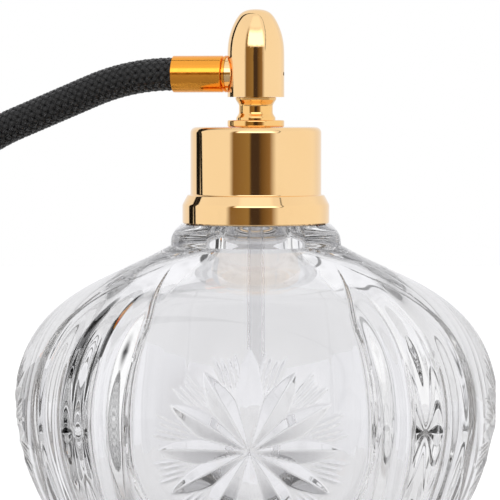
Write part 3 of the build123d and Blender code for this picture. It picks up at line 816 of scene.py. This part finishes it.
def floor():
    """A plain pale floor. Through crystal it shows painted shade near the bottle, in dark patches, then
    painted shade that lightens away from the bottle; in metal it shows painted shade in front.
    """
    material, tree = shader_tree("floor")
    rays = add(tree, "LightPath").outputs
    place = add(tree, "TexCoord").outputs["Object"]
    distance = add(tree, "VectorMath", {"operation": "LENGTH"}, i0=place).outputs["Value"]
    plain = ramp(tree, object_noise(tree, 4, 3), [(0.3, 0.78), (0.7, 0.82)])
    # Painted shade: dark patches on the floor close to the bottle, seen only through crystal.
    painted_shade_patches = ramp(tree, object_noise(tree, 26, 2), [(0.43, 0.06), (0.51, 0.5), (0.58, 0.92)])
    # Painted shade: the floor seen through crystal is darker towards the bottle and lighter farther out.
    painted_shade_fading_out = ramp(tree, distance, [(0.2, (0.5, 0.5, 0.52)), (0.9, (0.84, 0.84, 0.86))])
    painted_shade_in_crystal = mix_colours(tree, ramp(tree, distance, [(0.16, 0.0), (0.3, 1.0)]), painted_shade_patches, painted_shade_fading_out)
    tone = mix_colours(tree, rays["Is Transmission Ray"], plain, painted_shade_in_crystal)
    depth = maths(tree, "ADD", add(tree, "SeparateXYZ", Vector=place).outputs[1], 0.5)
    # Painted shade: the floor in front of the bottle, on the camera's side, is darker where metal reflects it.
    painted_shade_in_metal = ramp(tree, depth, [(0.42, (0.38, 0.36, 0.34)), (0.5, (0.8, 0.8, 0.8))])
    tone = mix_colours(tree, rays["Is Glossy Ray"], tone, painted_shade_in_metal)
    to_camera = maths(tree, "MULTIPLY", rays["Is Camera Ray"], 0.3)
    body = add(tree, "BsdfPrincipled", Base_Color=tone, Roughness=0.6, Emission_Color=(1, 1, 1, 1),
               Emission_Strength=to_camera)
    finish_material(tree, body.outputs[0])
    corners = [(-1, -1), (1, -1), (1, 1), (-1, 1)]
    corners = [(x * FLOOR_REACH, y * FLOOR_REACH, 0) for x, y in corners]
    new_mesh("floor", corners, [(0, 1, 2, 3)], material, None)


floor()

# The studio is painted on the world. Azimuths run from 0 at the camera's side, positive towards +X.
BACK, SIDE, TOP, DARK = (0.92, 0.92, 0.94), (1.0, 1.0, 1.0), (0.97, 0.97, 0.98), (0.01, 0.01, 0.01)
GAP, GAP_MIDDLE, GAP_END = (0.24, 0.15, 0.06), (0.32, 0.22, 0.09), (0.28, 0.18, 0.08)
SLIT, SLIT_EDGE = (0.06, 0.04, 0.03), (0.15, 0.09, 0.035)
LAMP = (2.2, 2.2, 2.2)
LAMP_SIDES = (-38, -30, 30, 38)
LAMP_HEIGHTS = [(9, 0.0), (13, 1.0), (32, 1.0), (42, 0.15), (70, 0.12), (80, 0.0)]
POST_SIDES = (-130, -129, -116, -115)
STAND_FOOT, STAND_LEAN, STAND_HEIGHTS = 36, 0.12, (5, 7, 84, 87)
STAND_EDGES = (0, 0.002, 0.007, 0.009)  # shares of a turn
CAMERA_SIDE = 0.38  # how bright the camera's side is to rays in crystal
TENT = [
    (-180, BACK), (-131, BACK), (-128, SIDE), (-48, SIDE), (-40, GAP), (-12, GAP_MIDDLE), (-8, SLIT),
    (4, SLIT), (10, SLIT_EDGE), (24, GAP_END), (36, SIDE), (118, SIDE), (135, BACK),
]
FLAGS = [(-98, -96, 0.7), (109, 112, 0.75), (139, 142, 0.8)]  # from, to, darkness


def at_azimuth(azimuth):
    """Where an azimuth falls on a 0 to 1 ramp round the horizon."""
    return 0.5 + azimuth / 360


def at_elevation(elevation):
    """Where an elevation falls on a 0 to 1 ramp from straight down to straight up."""
    return 0.5 + sin(radians(elevation)) / 2


def lit_tent(tree, turn, lift):
    """Pale walls with a brown gap in front, a dark slit in the gap, and a hot lamp above it."""
    walls = ramp(tree, turn, [(at_azimuth(azimuth), colour) for azimuth, colour in TENT])
    above = ramp(tree, lift, [(0.0, 0.0), (at_elevation(30), 0.0), (at_elevation(46), 1.0)])
    tent = mix_colours(tree, above, walls, TOP)
    across = window(tree, turn, [at_azimuth(azimuth) for azimuth in LAMP_SIDES])
    height = ramp(tree, lift, [(at_elevation(elevation), level) for elevation, level in LAMP_HEIGHTS])
    return mix_colours(tree, maths(tree, "MULTIPLY", across, height), tent, LAMP)


def dark_lines(tree, turn, lift, through_glass):
    """How dark each direction is made by a post at the back, a leaning stand, and flags only crystal sees."""
    foot = at_azimuth(STAND_FOOT) - STAND_LEAN * at_elevation(STAND_HEIGHTS[0])
    leaning = maths(tree, "SUBTRACT", turn, maths(tree, "MULTIPLY", lift, STAND_LEAN))
    stand = window(tree, leaning, [foot + edge for edge in STAND_EDGES])
    heights = window(tree, lift, [at_elevation(height) for height in STAND_HEIGHTS])
    stand = maths(tree, "MULTIPLY", stand, heights)
    post = window(tree, turn, [at_azimuth(azimuth) for azimuth in POST_SIDES])
    stops = []
    for low, high, darkness in FLAGS:
        stops += [(at_azimuth(low - 1), 0.0), (at_azimuth(low), darkness)]
        stops += [(at_azimuth(high), darkness), (at_azimuth(high + 1), 0.0)]
    flags = maths(tree, "MULTIPLY", ramp(tree, turn, stops), through_glass)
    return maths(tree, "MAXIMUM", maths(tree, "MAXIMUM", post, stand), flags)


def dimming(tree, turn, direction):
    """How far the studio is dimmed for rays through crystal: soft clouds, and a dark camera side."""
    clouds = add(tree, "TexNoise", Vector=direction, Scale=2.2, Detail=2.0).outputs["Fac"]
    clouds = ramp(tree, clouds, [(0.4, 0.86), (0.5, 1.0), (0.62, 1.06)])
    stops = [(-88, 1.0), (-60, CAMERA_SIDE), (60, CAMERA_SIDE), (88, 1.0)]
    camera_side = ramp(tree, turn, [(at_azimuth(azimuth), level) for azimuth, level in stops])
    return mix_colours(tree, 1.0, clouds, camera_side, "MULTIPLY")


def studio():
    """A pale tent that the camera sees as plain white."""
    world = bpy.data.worlds.new("studio")
    bpy.context.scene.world = world
    world.use_nodes = True
    tree = world.node_tree
    tree.nodes.clear()
    direction = add(tree, "TexCoord").outputs["Generated"]
    parts = add(tree, "SeparateXYZ", Vector=direction)
    azimuth = maths(tree, "ARCTAN2", parts.outputs[0], maths(tree, "MULTIPLY", parts.outputs[1], -1.0))
    turn = maths(tree, "ADD", maths(tree, "DIVIDE", azimuth, 2 * pi), 0.5)
    lift = maths(tree, "ADD", maths(tree, "MULTIPLY", parts.outputs[2], 0.5), 0.5)
    rays = add(tree, "LightPath").outputs
    through_glass = rays["Is Transmission Ray"]
    lit = mix_colours(tree, dark_lines(tree, turn, lift, through_glass), lit_tent(tree, turn, lift), DARK)
    lit = mix_colours(tree, through_glass, lit, dimming(tree, turn, direction), "MULTIPLY")
    reflected = add(tree, "Background", Color=lit, Strength=1.0)
    seen = add(tree, "Background", Color=(1, 1, 1, 1), Strength=1.0)
    both = add(tree, "MixShader", Fac=rays["Is Camera Ray"], i1=reflected.outputs[0], i2=seen.outputs[0])
    add(tree, "OutputWorld", Surface=both.outputs[0])


studio()


CAMERA_AT = Vector((-1.2 * MM, -612 * MM, 103.5 * MM))
LOOKS_AT_Z = 73.9 * MM


def camera():
    """Level with the top of the closure, straight in front, looking a little down at the shoulder."""
    data = bpy.data.cameras.new("camera")
    data.sensor_width, data.lens = 36, 216
    seen = bpy.data.objects.new("camera", data)
    bpy.context.scene.collection.objects.link(seen)
    seen.location = CAMERA_AT
    target = Vector((CAMERA_AT.x, 0, LOOKS_AT_Z))
    seen.rotation_euler = (target - seen.location).to_track_quat("-Z", "Y").to_euler()
    bpy.context.scene.camera = seen


camera()

scene = bpy.context.scene
scene.view_settings.view_transform = "Standard"
scene.cycles.max_bounces = 24
scene.cycles.transmission_bounces = 20
scene.cycles.transparent_max_bounces = 16
scene.cycles.glossy_bounces = 8
